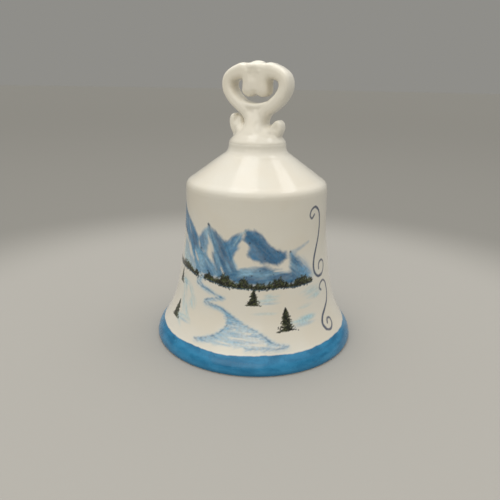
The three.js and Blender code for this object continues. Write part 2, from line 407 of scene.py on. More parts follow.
def paint_mountains(art, rng):
    for seed, (outline, angle, dark, light, soft, cover) in enumerate(FACES):
        art.plane(outline, angle, dark, light, soft, cover, seed=8 * seed)
    for x, h, w, t, angle in SNOW_GAPS:
        art.wipe(x, h, w, t, 0.8, angle, seed=int(40 + abs(x) * 3))
    for outline, angle, dark, _, _, cover in FACES:
        art.hatch(outline, angle, dark * 0.75, 14, rng, 0.32 * cover)
    for i, points in enumerate(RIDGES):
        art.stroke(points, (0.55, 0.3), NIGHT, cover=0.7, soft=0.3, dry=0.7, seed=130 + i)
    art.stroke([(13.8, 39.8), (17, 40.8), (22.4, 42.6)], (1.5, 0.5), BLUE, cover=0.6, soft=0.6, dry=0.5)
    art.smear(18.8, 34.4, 5.6, 3.4, BLUE, cover=0.9, angle=-40, seed=140)
    art.smear(20.4, 32, 4.8, 3.0, BLUE, cover=0.85, angle=-20, seed=141)
    art.stroke([(-8.4, 42.6), (-6, 46.2), (-3.6, 48)], 0.4, PALE, cover=0.6, soft=0.4)
    for x, h, size in ROCKS:
        art.dab(x, h, size, size * 0.7, INK, cover=0.8, angle=-30)


TREELINE = [
    (-62, 32.2), (-50, 31), (-43, 30.8), (-37, 30.5), (-30, 30.4), (-24, 29.8), (-18, 29.6), (-12, 28.6),
    (-6, 28.6), (1, 28.3), (8, 28.7), (15, 28.4), (23, 28.6),
]
# Where the far pines stand taller: (x, how much taller, half width).
CLUMPS = [
    (-54, 1.0, 4), (-46, 0.6, 3), (-32, 1.0, 5), (-18, 1.1, 2.0), (-11.4, 2.6, 3.0), (-4.2, 1.9, 2.4),
    (1.4, 0.5, 2.6), (8.4, 2.0, 3.2), (18, 1.9, 3.2),
]


def needles(rng, lit):
    return PINE_LIT if lit else PINE[rng.integers(len(PINE))]


def paint_trees(art, rng):
    """A far line of pines: dark at its foot, with olive dabs where light catches the tops."""
    xs, hs = zip(*TREELINE)
    for _ in range(11500):
        x = rng.uniform(-61, 23.6)
        if -23.6 < x < -20.4 and rng.random() < 0.9:  # the stream's gap
            continue
        tall = 1.3 + 0.5 * math.sin(2.1 * x) * math.sin(0.83 * x + 1)
        tall += sum(more * math.exp(-2 * ((x - middle) / w) ** 2) for middle, more, w in CLUMPS)
        if rng.random() > tall / 4:
            continue
        tall *= 0.7 + 0.55 * rng.random()
        up = tall * rng.random() ** 1.2
        h = np.interp(x, xs, hs) + rng.normal(-0.35, 0.3) + up
        edge = up / tall
        lit = rng.random() < 0.14 + 0.32 * edge
        size = rng.uniform(0.14, 0.34)
        art.dab(x, h, size, size * rng.uniform(0.7, 1.4), needles(rng, lit),
                cover=(0.55 if lit else 0.92) - 0.2 * edge, angle=rng.uniform(-40, 40))
    for x in np.arange(-60, 23, 0.8):
        under = np.interp(x, xs, hs)
        shadow = [(x, under - 0.5), (x + rng.uniform(1, 2.6), under - 0.7)]
        art.stroke(shadow, (0.25, 0.1), BLUE, cover=0.15, soft=0.25)


FIRS = [(-0.6, 22.6, 5.0, 2.6), (10.8, 13.6, 7.6, 3.2), (-33.6, 11.4, 6.0, 2.6), (-35.4, 24.0, 5.0, 1.8)]


def paint_fir(art, rng, x, base, height, half):
    """A fir in snow: tiers of dabs that widen downwards, on a scrubby foot with a spread of shadow."""
    seed = int(50 + x * x)
    art.smear(x + half * 1.9, base + height * 0.28, half * 1.9, height * 0.2, PALE, cover=0.9, seed=seed)
    art.smear(x + half * 2.2, base + height * 0.10, half * 1.7, height * 0.12, SKY, cover=0.6, seed=seed + 1)
    art.stroke([(x, base - 0.1), (x, base + height)], (0.6, 0.22), PINE[0], cover=0.85)
    for _ in range(int(95 * height)):
        t = rng.random() ** 1.15
        tier = 0.84 + 0.16 * math.cos(t * 5 * 2 * math.pi)
        dx = rng.normal(0, 0.48) * half * (1 - t) ** 0.8 * tier
        size = rng.uniform(0.13, 0.28)
        lit = rng.random() < 0.2
        art.dab(x + dx, base + t * height - abs(dx) * 0.14, size * 1.3, size, needles(rng, lit),
                cover=0.6 if lit else 0.9, angle=-math.copysign(28, dx))
    for _ in range(int(14 * half)):
        dx = rng.uniform(-1.15, 1.15) * half
        h = base + rng.uniform(-0.35, 0.15)
        art.dab(x + dx, h, rng.uniform(0.15, 0.35), 0.14, [*PINE, PINE_LIT][rng.integers(5)], cover=0.7)


STREAM = [
    (-21, 30), (-24, 27.4), (-20, 25.8), (-14.4, 24.4), (-12.4, 24), (-15, 23.2), (-19.4, 21.6), (-16, 20.6),
    (-11.6, 20.4), (-6.4, 17.4), (0, 14.2), (4.6, 11.4), (10.4, 8.8), (2, 8.6), (-4, 8.9), (-12, 8.5),
    (-19.6, 8.6), (-12.6, 11.8), (-9.4, 15), (-9.8, 18.4), (-13.6, 20), (-17.6, 20.9), (-18, 21.6),
    (-13.4, 23.3), (-10.8, 24), (-14, 25), (-19.4, 26.7), (-22.4, 27.6),
]
# Each bank, with its line's width at each end.
BANKS = [
    ([(-21.4, 30.2), (-23.8, 28.4), (-23.6, 27), (-20, 26), (-16.4, 25.2), (-12.2, 24.2)], (0.35, 0.55)),
    ([(-20.6, 30), (-22.4, 28.2), (-21.4, 27), (-17.4, 25.8)], (0.3, 0.4)),
    ([(-12.4, 24), (-15.6, 23.2), (-18.8, 22), (-19.2, 21.2), (-15.4, 20.6), (-11.8, 20.4), (-9.8, 18.8),
      (-9, 16.4), (-9.6, 14.6), (-12.4, 11.8), (-16, 9.9), (-19.8, 8.6)], (0.45, 0.5)),
    ([(-17.2, 21.4), (-12.8, 20.8), (-9, 19), (-6, 17), (-2.6, 15.4), (0.6, 13.8), (3.4, 12), (4.6, 10.8)],
     (0.4, 0.5)),
    ([(4.2, 11), (6.4, 9.8), (10.4, 8.6), (6, 8.3), (2.4, 8.5), (-2.6, 8.6)], (0.45, 0.3)),
]
# Deeper and whiter water: (x, h, half width, half height).
DEEPS = [
    (-6, 12.6, 5, 0.8), (-3, 10.4, 6.4, 0.9), (2.4, 9, 6, 0.5), (-8.4, 16.6, 1.6, 1.4), (-13, 9.4, 5, 0.5),
]
WHITES = [
    (-5, 11.2, 4.0, 0.55), (1.6, 9.7, 3.6, 0.4), (-9.4, 9.5, 3.4, 0.4), (-7.4, 14.4, 1.8, 0.6),
    (-1.2, 13.2, 2.2, 0.4), (-9.0, 17.6, 1.0, 0.6),
]


def paint_stream(art):
    """Pale water broken by white, with thin banks, level ripples and strokes that hang from the banks."""
    rng = np.random.default_rng(SEED + 1)
    art.plane(STREAM, 0, SKY, srgb(222, 226, 226), soft=0.9, cover=0.55, seed=161)
    for i, oval in enumerate(DEEPS):
        art.smear(*oval, BLUE, cover=0.55, angle=-4, seed=170 + i)
    for i, oval in enumerate(WHITES):
        art.wipe(*oval, 0.75, -3, seed=190 + i)
    for i, (points, width) in enumerate(BANKS):
        wash = [(x + 0.2, h - 0.4) for x, h in points]
        art.stroke(wash, (1.3, 1.7), SKY, cover=0.45, soft=0.8, dry=0.8, seed=80 + i)
        art.stroke(points, width, NIGHT, cover=0.78, soft=0.25, dry=1.1, seed=70 + i)
        for x, h in smooth_curve(points, 1.7):
            reach = rng.uniform(0.4, 1.9)
            way = 1 if x < np.interp(h, [8.4, 20], [-2, -10]) else -1
            hanging = [(x - way * 0.4, h + 0.15), (x + way * reach, h - rng.uniform(0.2, 0.7))]
            colour = BLUE if rng.random() < 0.5 else DEEP
            art.stroke(hanging, (0.4, 0.12), colour, cover=0.5, soft=0.3)
    for _ in range(80):
        h = rng.uniform(8.7, 19)
        left = np.interp(h, [8.4, 11.8, 14.8, 19], [-18, -12, -8.8, -9.2])
        right = np.interp(h, [8.4, 11.2, 14.1, 17.3, 19], [8, 4, -0.6, -6, -9])
        x = left + (right - left) * rng.random()
        reach = rng.uniform(0.5, 1.8)
        ripple = [(x - reach, h), (x + reach, h - rng.uniform(0, 0.3))]
        colour = SKY if rng.random() < 0.7 else BLUE
        art.stroke(ripple, (0.3, 0.12), colour, cover=0.5, soft=0.25)


# Soft shadows in the snow: (x, h, half width, half height, cover, angle).
SNOW_SHADOWS = [
    (22, 25.4, 5.4, 1.3, 0.7, 6), (24.6, 22.8, 4.6, 1.0, 0.5, 6), (19, 20.4, 4, 0.8, 0.35, 4),
    (3.4, 19.6, 5, 0.6, 0.4, 0), (6, 25.4, 3.4, 1.2, 0.7, 0), (19.6, 16.4, 4.6, 1.3, 0.8, 0),
    (-29.6, 17.8, 5.6, 2.4, 0.75, -58), (-27, 23.6, 4.4, 1.3, 0.5, -50), (-31, 11.6, 4, 1.2, 0.55, -30),
    (-33.6, 34, 3.4, 1.8, 0.4, -60), (24.4, 30.4, 3.0, 0.8, 0.4, 10), (-26, 14, 3.4, 0.8, 0.5, -40),
    (-25, 19.4, 3.0, 2.2, 0.6, -64), (-31.6, 24.2, 3.4, 2.0, 0.6, -60), (24, 24.2, 5.6, 2.0, 0.4, 5),
]


def paint_snow(art):
    for i, (x, h, w, t, cover, angle) in enumerate(SNOW_SHADOWS):
        art.smear(x, h, w, t * 1.2, PALE, cover=min(1, 1.35 * cover), angle=angle, seed=90 + i)


def paint_scrolls(art):
    """Two S-scrolls that end the picture on the right."""
    upper = [(26, 51.6), (24.3, 50.4), (23.2, 51.6), (24, 53.4), (26.6, 54.2), (29.2, 52.4), (30.2, 48.6),
             (29.3, 43.8), (27.2, 39.6), (25.5, 36.2), (24.8, 33), (25.5, 30.6), (27.4, 29.1), (30, 29.1),
             (32.1, 31), (32.3, 33.2), (30.6, 34.3), (28.5, 33.4), (28.2, 31.6)]
    lower = [(28.9, 23.5), (27.8, 24.5), (28.6, 26), (31, 26.6), (33.1, 24.8), (33.6, 21.6), (32.3, 18.6),
             (29.6, 16.4), (27, 14.4), (25.9, 12.1), (27, 9.9), (29.4, 9.1), (31.3, 10.4), (31, 12.4),
             (29.3, 12.8), (28.6, 11.5)]
    for points in (upper, lower):
        art.stroke(points, 0.8, SLATE, cover=0.95, soft=0.18, dry=0.1, seed=120)
        art.stroke(points[4:-5], (0.9, 1.1), SLATE, cover=0.7, soft=0.2)


def paint(x, h):
    """The whole picture: the colour at each point, and how much of it covers the glaze."""
    art = Painting(x, h)
    rng = np.random.default_rng(SEED)
    paint_snow(art)
    paint_mountains(art, rng)
    paint_stream(art)
    paint_trees(art, rng)
    for fir in FIRS:
        paint_fir(art, rng, *fir)
    paint_scrolls(art)
    return art.colour, art.cover


# ---------------------------------------------------------------- materials


def add(tree, kind, inputs=(), **settings):
    """Adds a node. settings are its properties, and inputs its sockets' values or what feeds them."""
    node = tree.nodes.new("ShaderNode" + kind)
    for name, value in settings.items():
        setattr(node, name, value)
    for name, value in dict(inputs).items():
        if isinstance(value, bpy.types.NodeSocket):
            tree.links.new(value, node.inputs[name])
        else:
            node.inputs[name].default_value = value
    return node


def add_noise(tree, per_mm, detail=3.0, rough=0.55, stretch=(1, 1, 1), distortion=0.0):
    """Noise with per_mm waves to the millimetre, fixed to the piece."""
    place = add(tree, "TexCoord").outputs["Object"]
    if stretch != (1, 1, 1):
        place = add(tree, "Mapping", {"Vector": place, "Scale": stretch}).outputs[0]
    return add(tree, "TexNoise", {"Vector": place, "Scale": per_mm / MM, "Detail": detail,
                                  "Roughness": rough, "Distortion": distortion}).outputs[0]


def add_range(tree, value, low, high, to_low=0.0, to_high=1.0):
    return add(tree, "MapRange", {"Value": value, "From Min": low, "From Max": high,
                                  "To Min": to_low, "To Max": to_high},
               interpolation_type="SMOOTHSTEP").outputs[0]


def add_math(tree, operation, *values):
    return add(tree, "Math", dict(enumerate(values)), operation=operation).outputs[0]


def add_height(tree):
    """Height above the rim, in metres."""
    return add(tree, "SeparateXYZ", {"Vector": add(tree, "TexCoord").outputs["Object"]}).outputs["Z"]


def add_mix(tree, factor, a, b):
    """A colour between a and b, each a colour or a socket."""
    colours = {6 + i: (*c, 1) if not isinstance(c, bpy.types.NodeSocket) else c for i, c in enumerate((a, b))}
    return add(tree, "Mix", {0: factor, **colours}, data_type="RGBA").outputs[2]


def new_material(name, colour, rough, **constants):
    """A material, its node tree and its shader. Constants go straight on the shader's sockets."""
    material = bpy.data.materials.new(name)
    material.use_nodes = True
    tree = material.node_tree
    shader = tree.nodes["Principled BSDF"]
    shader.inputs["Base Color"].default_value = (*colour, 1)
    shader.inputs["Roughness"].default_value = rough
    for socket, value in constants.items():
        shader.inputs[socket.replace("_", " ")].default_value = value
    return material, tree, shader


def set_bump(tree, shader, height, strength, distance):
    bump = add(tree, "Bump", {"Height": height, "Strength": strength, "Distance": distance * MM})
    tree.links.new(bump.outputs[0], shader.inputs["Normal"])


CREAM = (0.765, 0.738, 0.665)
CREAM_WARM = (0.755, 0.712, 0.62)
# Lit and shaded copies of the one glaze: the handle's cream and the collar's cream are lighter as painted
# light, the foot's cream is darker as painted shade.
HANDLE_CREAM_LIT = (0.90, 0.865, 0.775)
HANDLE_WARM_LIT = (0.89, 0.84, 0.73)
CREAM_SHADED = (0.80, 0.77, 0.69)
COLLAR_CREAM_LIT = (0.845, 0.815, 0.735)
IRON = (0.34, 0.24, 0.15)
BISCUIT = (0.66, 0.60, 0.50)
BISCUIT_PALE = (0.74, 0.69, 0.60)
BRASS = (0.78, 0.55, 0.24)
TARNISH = (0.36, 0.23, 0.10)
PLASTER = (0.66, 0.62, 0.54)
PLASTER_STAIN = (0.50, 0.45, 0.37)
BAND_DEEP = tuple(srgb(24, 108, 152))
BAND_LIGHT = tuple(srgb(48, 134, 180))
BAND_TEAL = tuple(srgb(16, 86, 116))
BAND_TOP = 6.5  # height of the blue band's upper edge, mm
FOOT_LINE = 0.25  # height up to which the foot ring is bare, mm
# The floor's painted light: a pale pool of light under the bell, grey away from it, and a touch lighter far
# off to offset the lamps' falloff.
FLOOR_LIT_POOL = (0.40, 0.39, 0.37)
FLOOR_GREY = (0.25, 0.245, 0.23)
FLOOR_FAR_LIT = (0.258, 0.253, 0.237)


def glaze_colour(tree, light, warm):
    """White glaze that pools a little warmer in broad clouds, with sparse fine iron specks."""
    clouds = add_range(tree, add_noise(tree, 0.05, 2), 0.42, 0.68)
    base = add_mix(tree, clouds, light, warm)
    cell = add(tree, "TexVoronoi", {"Vector": add(tree, "TexCoord").outputs["Object"],
                                    "Scale": 0.16 / MM, "Randomness": 1.0})
    speck = add_range(tree, cell.outputs["Distance"], 0.03, 0.018)
    tone = add(tree, "SeparateColor", {"Color": cell.outputs["Color"]}).outputs[0]
    rare = add_range(tree, tone, 0.80, 0.84)
    return add_mix(tree, add_math(tree, "MULTIPLY", speck, rare), base, IRON)


def finish_glaze(tree, shader, rough):
    """Orange-peel ripple and slightly uneven gloss of a fired glaze."""
    tree.links.new(rough, shader.inputs["Roughness"])
    fine = add_math(tree, "MULTIPLY", add_noise(tree, 1.6, 2), 0.25)
    ripple = add_math(tree, "ADD", add_noise(tree, 0.35, 1), fine)
    set_bump(tree, shader, ripple, 0.35, 0.06)


def make_glaze(name):
    """The glaze on the handle and the bead: painted shade keeps it darker up to the top of the handle's foot,
    and painted light makes the handle above it lighter.
    """
    material, tree, shader = new_material(name, CREAM, 0.15, Coat_Weight=0.2, Coat_Roughness=0.08,
                                          Specular_IOR_Level=0.4)
    # Painted light and shade: the glaze lightens up the handle above its foot, while the foot and the bead
    # keep the darker, shaded cream.
    handle_light = add_range(tree, add_height(tree), 75 * MM, 80.5 * MM)
    low = glaze_colour(tree, CREAM_SHADED, CREAM_WARM)
    high = glaze_colour(tree, HANDLE_CREAM_LIT, HANDLE_WARM_LIT)
    tree.links.new(add_mix(tree, handle_light, low, high), shader.inputs["Base Color"])
    finish_glaze(tree, shader, add_range(tree, add_noise(tree, 0.22, 3), 0.3, 0.75, 0.10, 0.24))
    return material


def make_painted_glaze():
    """The bell's own glaze: the picture, the sponged blue band round the flare, and a bare foot ring."""
    material, tree, shader = new_material("painted_porcelain", CREAM, 0.15, Coat_Weight=0.25,
                                          Coat_Roughness=0.05, Specular_IOR_Level=0.35)
    height = add_height(tree)
    outside = add(tree, "Attribute", attribute_name="outside").outputs["Fac"]
    picture = add(tree, "Attribute", attribute_name="picture")
    grain = add_noise(tree, 2.2, 3, 0.7)
    worn = add_range(tree, grain, 0.25, 0.5, 0.9, 1.0)
    cover = add_math(tree, "MULTIPLY", picture.outputs["Alpha"], worn)
    tint = add_range(tree, add_noise(tree, 1.1, 3), 0.3, 0.7, 0.84, 1.14)
    tinted = add(tree, "VectorMath", {0: picture.outputs["Color"], "Scale": tint}, operation="SCALE")
    # Painted light: the glaze lightens up the collar.
    lit_neck = add_range(tree, height, 69.5 * MM, 71.5 * MM)
    glaze = add_mix(tree, lit_neck, glaze_colour(tree, CREAM, CREAM_WARM), COLLAR_CREAM_LIT)
    colour = add_mix(tree, cover, glaze, tinted.outputs[0])

    edge = add_math(tree, "MULTIPLY_ADD", add_noise(tree, 0.4, 2), 0.5 * MM, BAND_TOP * MM - 0.25 * MM)
    edge = add_math(tree, "SUBTRACT", edge, 0.6 * MM)
    edge = add_math(tree, "MULTIPLY_ADD", add_noise(tree, 0.05, 1), 1.2 * MM, edge)
    depth = add_math(tree, "SUBTRACT", edge, height)
    below = add_range(tree, depth, -0.2 * MM, 0.2 * MM)
    above_foot = add_range(tree, height, FOOT_LINE * MM - 0.05 * MM, FOOT_LINE * MM + 0.05 * MM)
    dabs = add_noise(tree, 0.16, 4, 0.55, (1, 1, 3.2), 0.3)
    band = add_mix(tree, add_range(tree, dabs, 0.3, 0.7), BAND_DEEP, BAND_LIGHT)
    streaks = add_range(tree, add_noise(tree, 0.30, 3, 0.6, (1, 1, 3)), 0.55, 0.74, 0.0, 0.55)
    under_edge = add_range(tree, depth, 2.6 * MM, 0.6 * MM)
    band = add_mix(tree, add_math(tree, "MULTIPLY", streaks, under_edge), band, BAND_TEAL)
    lip = add_range(tree, height, 1.9 * MM, 0.8 * MM, 0.0, 0.55)
    band = add_mix(tree, lip, band, BAND_DEEP)
    banded = add_math(tree, "MULTIPLY", add_math(tree, "MULTIPLY", below, above_foot), outside)
    colour = add_mix(tree, banded, colour, band)

    foot = add_range(tree, height, FOOT_LINE * MM, FOOT_LINE * MM * 0.4)
    sand = add_range(tree, add_noise(tree, 3.0, 4, 0.7), 0.3, 0.7)
    bare = add_mix(tree, sand, BISCUIT, BISCUIT_PALE)
    tree.links.new(add_mix(tree, foot, colour, bare), shader.inputs["Base Color"])

    gloss = add_range(tree, add_noise(tree, 0.22, 3), 0.3, 0.75, 0.11, 0.24)
    gloss = add_math(tree, "MULTIPLY_ADD", cover, 0.12, gloss)
    gloss = add_math(tree, "MULTIPLY_ADD", banded, 0.10, gloss)
    finish_glaze(tree, shader, add_math(tree, "MULTIPLY_ADD", foot, 0.5, gloss))
    return material


def make_brass():
    """Drawn brass wire: fine lines, dulled in patches."""
    material, tree, shader = new_material("brass_wire", BRASS, 0.3, Metallic=1.0)
    tarnish = add_range(tree, add_noise(tree, 0.9, 4, 0.65), 0.4, 0.72)
    tree.links.new(add_mix(tree, tarnish, BRASS, TARNISH), shader.inputs["Base Color"])
    lines = add_noise(tree, 7.0, 2, 0.5)
    rough = add_math(tree, "MULTIPLY_ADD", tarnish, 0.28, add_range(tree, lines, 0.3, 0.7, 0.2, 0.34))
    tree.links.new(rough, shader.inputs["Roughness"])
    set_bump(tree, shader, lines, 0.25, 0.02)
    return material


def make_plaster():
    """Chalky cement, pitted and faintly stained."""
    material, tree, shader = new_material("plaster", PLASTER, 0.9)
    stain = add_range(tree, add_noise(tree, 0.35, 4, 0.6), 0.35, 0.7)
    tree.links.new(add_mix(tree, stain, PLASTER, PLASTER_STAIN), shader.inputs["Base Color"])
    holes = add_range(tree, add_noise(tree, 3.2, 2), 0.62, 0.7, 0.0, -0.8)
    pits = add_math(tree, "ADD", add_noise(tree, 1.6, 4, 0.7), holes)
    set_bump(tree, shader, pits, 0.6, 0.25)
    return material


def make_floor():
    """A matte sheet with painted light: a pale pool of light under the bell, greyer away from it, and a touch
    lighter again far off where the lamps fall off.
    """
    material, tree, shader = new_material("floor", FLOOR_GREY, 0.75, Specular_IOR_Level=0.2)
    at = add(tree, "SeparateXYZ", {"Vector": add(tree, "TexCoord").outputs["Object"]})
    squares = [add_math(tree, "POWER", at.outputs[axis], 2.0) for axis in ("X", "Y")]
    from_bell = add_math(tree, "POWER", add_math(tree, "ADD", *squares), 0.5)
    away = add_range(tree, from_bell, 0.12, 0.21)
    far = add_range(tree, from_bell, 0.3, 2.5)
    sheet = add_mix(tree, away, FLOOR_LIT_POOL, FLOOR_GREY)
    tree.links.new(add_mix(tree, far, sheet, FLOOR_FAR_LIT), shader.inputs["Base Color"])
    set_bump(tree, shader, add_noise(tree, 1.2, 3), 0.1, 0.05)
    return material


# ---------------------------------------------------------------- bell body

OUTER_STEP = 0.3  # size of the mesh on the painted part
FRONT = (-124.0, 72.0)  # the painted part, in degrees round from the front
SIDE_R = 28  # the side's radius where most of the picture is
PICTURE_R = 30.0  # the picture's x is measured round the side at this radius


def bell_profile():
    """The body's outline from the foot ring up the outside to the axis, and the inside's from the
    well's middle down to the foot ring, as (radius, height)."""
    lip = [(RIM_FLAT[1], 0), (37.85, 0.12), (38.0, 0.4), (MOUTH_R, 0.9)]
    outer = smooth_curve(lip + SIDE, OUTER_STEP)
    top = np.vstack([
        smooth_curve(SHOULDER, 0.3)[1:],
        even(np.array(CONE), 0.7)[1:],
        smooth_curve(COLLAR, 0.22)[1:],
    ])
    inner_side = [(r - WALL, h) for r, h in reversed(SIDE[1:-2])]
    inner_rim = [(35.2, 1.6), (35.45, 0.6), (35.8, 0.12), (RIM_FLAT[0], 0)]
    inner = np.vstack([
        [(2.0, WELL_TOP), (6.6, WELL_TOP)],
        smooth_curve(INSIDE[::-1] + inner_side + inner_rim, 0.8),
    ])
    return outer, top, inner


def body_angles():
    """Angles round the outside, close together over the painted part."""
    fine = math.degrees(OUTER_STEP / SIDE_R)
    front = np.linspace(*FRONT, round((FRONT[1] - FRONT[0]) / fine))
    back = np.linspace(FRONT[1], FRONT[0] + 360, 80)[1:-1]
    return np.radians(np.concatenate([front, back]))


def zipper(low, angles_low, high, angles_high):
    """Triangles that join two rings with different numbers of points. low and high are first indexes."""
    a, b = (np.mod(angles, 2 * math.pi) for angles in (angles_low, angles_high))
    order_a, order_b = np.argsort(a), np.argsort(b)
    point_a = lambda k: int(low + order_a[k % len(a)])
    point_b = lambda k: int(high + order_b[k % len(b)])
    angle_a = lambda k: a[order_a[k % len(a)]] + 2 * math.pi * (k // len(a))
    angle_b = lambda k: b[order_b[k % len(b)]] + 2 * math.pi * (k // len(b))
    faces = []
    i = j = 0
    while i < len(a) or j < len(b):
        if j >= len(b) or (i < len(a) and angle_a(i + 1) <= angle_b(j + 1)):
            faces.append((point_a(i), point_a(i + 1), point_b(j)))
            i += 1
        else:
            faces.append((point_a(i), point_b(j + 1), point_b(j)))
            j += 1
    return faces


def make_body(material):
    outer, top, inner = bell_profile()
    around = body_angles()
    inside_around = circle(144)
    shell = np.vstack([outer, top[:-1]])
    out_points = turn(shell, around)
    in_points = turn(inner, inside_around)
    n, m, rows = len(around), len(inside_around), len(shell)
    verts = np.vstack([out_points, in_points, [[0, 0, COLLAR[-1][1]], [0, 0, WELL_TOP]]])
    start = len(out_points)
    apex, well = start + len(in_points), start + len(in_points) + 1
    faces = grid_faces(rows, n)
    faces += [((rows - 1) * n + j, (rows - 1) * n + (j + 1) % n, apex) for j in range(n)]
    faces += grid_faces(len(inner), m, start=start)
    faces += [(start + (j + 1) % m, start + j, well) for j in range(m)]
    faces += zipper(start + (len(inner) - 1) * m, inside_around, 0, around)
    body = new_piece("bell_body_glazed", verts, faces, material)

    side = len(outer) * n
    degrees = np.degrees(np.tile(around, len(outer)))
    degrees = (degrees + 180) % 360 - 180
    height = np.repeat(outer[:, 1], n)
    colour, cover = paint(np.radians(degrees) * PICTURE_R, height)
    values = np.zeros((len(verts), 4))
    values[:, :3] = 1
    values[:side, :3] = colour
    values[:side, 3] = cover
    picture = body.data.attributes.new("picture", "FLOAT_COLOR", "POINT")
    picture.data.foreach_set("color", values.ravel())
    outside = body.data.attributes.new("outside", "FLOAT", "POINT")
    outside.data.foreach_set("value", (np.arange(len(verts)) < side).astype(float))
    return body


# ---------------------------------------------------------------- handle


def band(points, half_width, half_depth, cap, spacing=0.35, sides=28):
    """A full-edged band bent in the XZ plane, its depth along Y, with cap mm of rounding at its ends.
    A third number at each point is the half width there."""
    flat = smooth_curve(points, spacing)
    half_width = flat[:, 2] if flat.shape[1] == 3 else half_width
    along = np.arange(len(flat)) * spacing
    from_end = np.minimum(along, along[::-1])
    round_off = np.sqrt(np.clip(1 - (1 - np.clip(from_end / cap, 0, 1)) ** 2, 0.06, 1))
    a = (np.arange(sides) + 0.5) / sides * 2 * math.pi
    full = lambda v: np.sign(v) * np.abs(v) ** 0.58
    depth = half_depth * (0.35 + 0.65 * round_off)
    return rod(flat, half_width * round_off, depth, full(np.sin(a)), full(np.cos(a)))


def ellipsoid(rx, ry, rz, x, z, sides=32):
    a = np.linspace(0, math.pi, sides // 2 + 1)[1:-1]
    profile = [(0, -1), *np.stack([np.sin(a), -np.cos(a)], axis=1), (0, 1)]
    verts, faces = turned(profile, sides)
    return verts * (rx, ry, rz) + (x, 0, z), faces


# The handle's foot, (radius, height): it runs out over the collar's corner and up to the stem.
FOOT = [
    (9.9, 72.5), (10.3, 73.0), (10.45, 73.6), (10.4, 74.1), (10.1, 74.6), (9.6, 75.1), (9.1, 75.7),
    (8.6, 76.2), (7.9, 76.6), (6.9, 76.95), (5.5, 77.1), (0.1, 77.2),
]


def foot_disc(sides=64):
    """The foot, turned about the bell's axis, which the handle's own middle lies a little off."""
    profile = [(0, FOOT[0][1]), *smooth_curve(FOOT, 0.3), (0, FOOT[-1][1])]
    verts, faces = turned(profile, sides)
    return verts + (-HANDLE_X * math.cos(HANDLE_YAW), HANDLE_X * math.sin(HANDLE_YAW), 0), faces


# The flare that carries the foot up into the stem: (height, half width, half depth).
SKIRT = [
    (75.2, 8.9, 8.6), (76.2, 8.0, 8.1), (77.2, 6.4, 7.5), (78.4, 4.9, 6.8), (79.8, 4.2, 6.0),
    (81.4, 3.9, 5.3), (83.2, 3.7, 4.6), (85.0, 3.5, 4.1),
]


def skirt(sides=48):
    a = circle(sides)
    full = lambda v: np.sign(v) * np.abs(v) ** 0.8
    rings = [np.stack([w * full(np.sin(a)), -d * full(np.cos(a)), np.full(sides, z)], axis=1)
             for z, w, d in smooth_curve(SKIRT, 0.3)]
    ends = np.array([[0, 0, SKIRT[0][0]], [0, 0, SKIRT[-1][0]]])
    return capped(rings, ends, sides)


# One arm of the heart, (x, height, half width): up from the foot, out, over the top and down the middle.
ARM = [
    (2.05, 74.0, 1.95), (1.95, 79, 1.95), (2.1, 82, 1.95), (3.4, 84.6, 2.05), (6.0, 86.7, 2.15),
    (8.8, 89.2, 2.1), (10.4, 91.9, 2.1), (10.65, 94.2, 2.1), (10.0, 95.9, 2.2), (8.4, 97.1, 2.35),
    (6.5, 97.8, 2.6), (4.7, 98.05, 2.85), (3.3, 97.0, 2.5), (2.6, 94.8, 2.25), (2.5, 92.6, 2.45),
    (2.45, 89.5, 2.7),
]
LEFT_SCROLL = [(-5.8, 76.3), (-7.2, 77.4), (-8.1, 79.4), (-8.35, 81.4), (-7.9, 82.7), (-7.0, 83.0)]
RIGHT_SCROLL = [
    (2.6, 78.8), (2.9, 77.7), (4.2, 77.3), (6.0, 78.3), (7.5, 80.2), (8.4, 81.0), (9.05, 80.2),
    (9.1, 78.7), (8.2, 76.2),
]
# Hollows pressed into both faces of the clay: a line of (x, height), its depth and its width.
PRESSED = [
    ([(-0.6, 98.2), (-0.6, 97.4), (-0.4, 96.2)], 0.4, 1.3),
    ([(-3.0, 99.8), (-2.5, 98.8)], 0.2, 0.7),
    ([(2.4, 99.8), (2.1, 98.8)], 0.2, 0.7),
    ([(0.1, 91.0), (0.1, 89)], 0.35, 0.8),
    ([(-1.3, 84.8), (-0.9, 84.6)], 0.35, 1.1),
    ([(-6.5, 82.0), (-6.2, 80.8)], 0.55, 0.9),
    ([(1.9, 80.8), (1.5, 79), (2.2, 77.9), (3.6, 77.6), (4.8, 78.4)], 0.3, 0.5),
]


VOXEL = 0.26  # size of the mesh that joins the handle's lumps of clay into one skin


def soften(piece, rounds, group=""):
    smoother = piece.modifiers.new("soften", "SMOOTH")
    smoother.factor = 0.5
    smoother.iterations = rounds
    smoother.vertex_group = group


